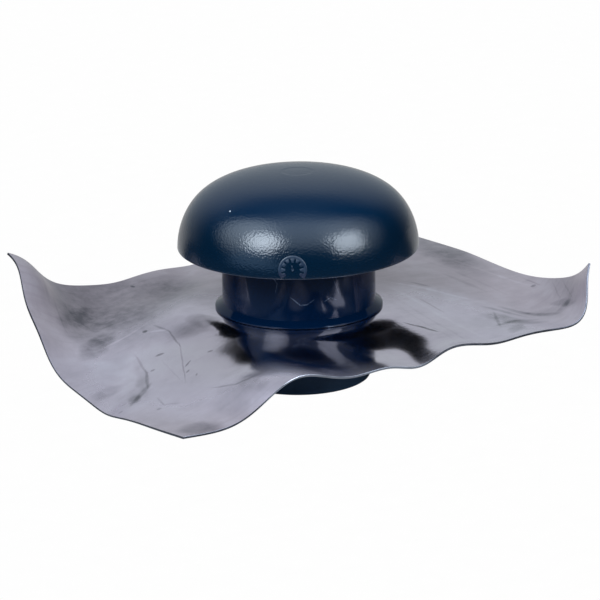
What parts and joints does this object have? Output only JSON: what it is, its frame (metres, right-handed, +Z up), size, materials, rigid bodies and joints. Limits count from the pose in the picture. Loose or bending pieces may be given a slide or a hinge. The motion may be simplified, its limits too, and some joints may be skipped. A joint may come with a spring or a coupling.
{
  "type": "vent cap",
  "caption": "Roof vent cap: round mushroom hood on a short duct tube, with a bent lead flashing sheet clamped between the tube's flared foot and the flange of a plug-in sleeve below.",
  "frame": {"origin": "on the duct's axis, in the plane of the sleeve's bottom edge", "axes": "+Z up along the duct's axis, +X along the long side of the flashing sheet, +Y along its short side"},
  "size_m": [0.3622, 0.286, 0.148],
  "materials": {
    "dome_plastic": "dark navy moulded plastic with a fine spark-eroded texture, semi-gloss",
    "tube_plastic": "dark navy moulded plastic, smooth and glossy, lightly scratched",
    "lead": "rolled sheet lead, smooth, blue-grey, satin, scuffed and smudged",
    "sleeve_plastic": "dark navy moulded plastic, matt"
  },
  "bodies": {
    "root": {"dome_cap": "dome_plastic", "upper_tube": "tube_plastic", "lead_sheet": "lead", "clamp_sleeve": "sleeve_plastic"}
  },
  "joints": []
}
